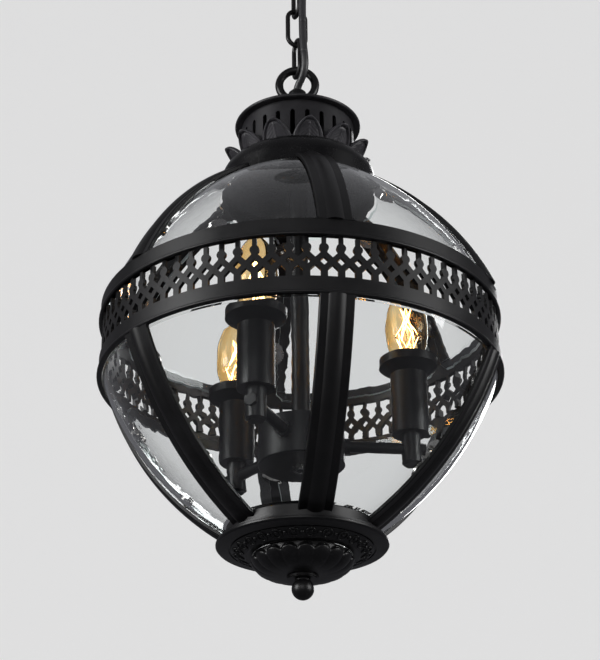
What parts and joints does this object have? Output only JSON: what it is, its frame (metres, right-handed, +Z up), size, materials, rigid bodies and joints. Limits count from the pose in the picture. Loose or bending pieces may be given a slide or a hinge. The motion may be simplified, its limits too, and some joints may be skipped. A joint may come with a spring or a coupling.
{
  "type": "lantern pendant light",
  "caption": "Globe lantern pendant with ribbed glass panes, a pierced girdle band, candle lamps, a leaf crown and a ball finial, hung from a ceiling rose on a short chain",
  "frame": {"origin": "Centre of the ceiling rose on the ceiling face, between the two ceiling screws", "axes": "+Z up out of the ceiling face, +X to the right and -Y towards the viewer of the picture; the object hangs down along -Z"},
  "size_m": [0.3228, 0.3228, 0.6649],
  "materials": {
    "painted_metal": "satin black paint with a faint graphite sheen",
    "nickel": "bright nickel plate",
    "black_plastic": "smooth black PVC",
    "pale_plastic": "pale moulded insulator",
    "clear_glass": "clear bent glass with polished edges",
    "amber_glass": "amber tinted clear glass",
    "cap_brass": "plain brass screw cap"
  },
  "bodies": {
    "ceiling": {"ceiling_bracket": "nickel", "ceiling_rose": "painted_metal", "rose_nipple": "nickel", "rose_collar": "painted_metal", "rose_loop": "painted_metal", "rose_gland": "black_plastic", "terminal_block": "pale_plastic", "flex": "black_plastic"},
    "link_3": {"chain_link_3": "painted_metal"},
    "link_2": {"chain_link_2": "painted_metal"},
    "link_1": {"chain_link_1": "painted_metal"},
    "lantern": {"suspension_loop": "painted_metal", "loop_collar": "painted_metal", "cord_gland": "black_plastic", "top_flange": "painted_metal", "slotted_collar": "painted_metal", "leaf_crown": "painted_metal", "shoulder_dome": "painted_metal", "upper_rib_1": "painted_metal", "upper_rib_2": "painted_metal", "upper_rib_3": "painted_metal", "upper_rib_4": "painted_metal", "upper_rib_5": "painted_metal", "upper_rib_6": "painted_metal", "upper_ring": "painted_metal", "fretwork_band": "painted_metal", "lower_ring": "painted_metal", "lower_rib_1": "painted_metal", "lower_rib_2": "painted_metal", "lower_rib_3": "painted_metal", "lower_rib_4": "painted_metal", "lower_rib_5": "painted_metal", "lower_rib_6": "painted_metal", "upper_glass": "clear_glass", "lower_glass": "clear_glass", "glass_washers": "nickel", "glass_screws": "nickel", "lower_collar": "painted_metal", "bottom_bar": "painted_metal", "tray": "painted_metal", "bowl": "painted_metal", "finial_washer": "painted_metal", "centre_rod": "painted_metal", "hub_drum": "painted_metal", "hub_cover": "painted_metal", "hub_nuts": "nickel", "arms": "painted_metal", "risers": "painted_metal", "candle_sleeves": "painted_metal", "drip_cups": "painted_metal", "lampholders": "pale_plastic"},
    "bulb_1": {"bulb_glass_1": "amber_glass", "bulb_cap_1": "cap_brass"},
    "bulb_2": {"bulb_glass_2": "amber_glass", "bulb_cap_2": "cap_brass"},
    "bulb_3": {"bulb_glass_3": "amber_glass", "bulb_cap_3": "cap_brass"},
    "finial_ball": {"finial": "painted_metal"}
  },
  "joints": [
    {"name": "link_3_swing", "type": "hinge", "parent": "ceiling", "child": "link_3", "pos_m": [0, 0, -0.1015], "axis": [0.9511, 0.309, 0], "range_deg": [-25, 25], "deforming": ["flex"]},
    {"name": "link_2_swing", "type": "hinge", "parent": "link_3", "child": "link_2", "pos_m": [0, 0, -0.1317], "axis": [-0.309, 0.9511, 0], "range_deg": [-25, 25], "deforming": ["flex"]},
    {"name": "link_1_swing", "type": "hinge", "parent": "link_2", "child": "link_1", "pos_m": [0, 0, -0.1634], "axis": [0.9511, 0.309, 0], "range_deg": [-25, 25], "deforming": ["flex"]},
    {"name": "lantern_swing", "type": "hinge", "parent": "link_1", "child": "lantern", "pos_m": [0, 0, -0.1951], "axis": [-0.309, 0.9511, 0], "range_deg": [-25, 25], "deforming": ["flex"]},
    {"name": "bulb_1_turn", "type": "hinge", "parent": "lantern", "child": "bulb_1", "pos_m": [-0.0332, -0.08096, -0.4368], "axis": [0, 0, 1], "continuous": true},
    {"name": "bulb_2_turn", "type": "hinge", "parent": "lantern", "child": "bulb_2", "pos_m": [0.08671, 0.01172, -0.4368], "axis": [0, 0, 1], "continuous": true},
    {"name": "bulb_3_turn", "type": "hinge", "parent": "lantern", "child": "bulb_3", "pos_m": [-0.05351, 0.06923, -0.4368], "axis": [0, 0, 1], "continuous": true},
    {"name": "finial_turn", "type": "hinge", "parent": "lantern", "child": "finial_ball", "pos_m": [0, 0, -0.6575], "axis": [0, 0, 1], "continuous": true}
  ]
}
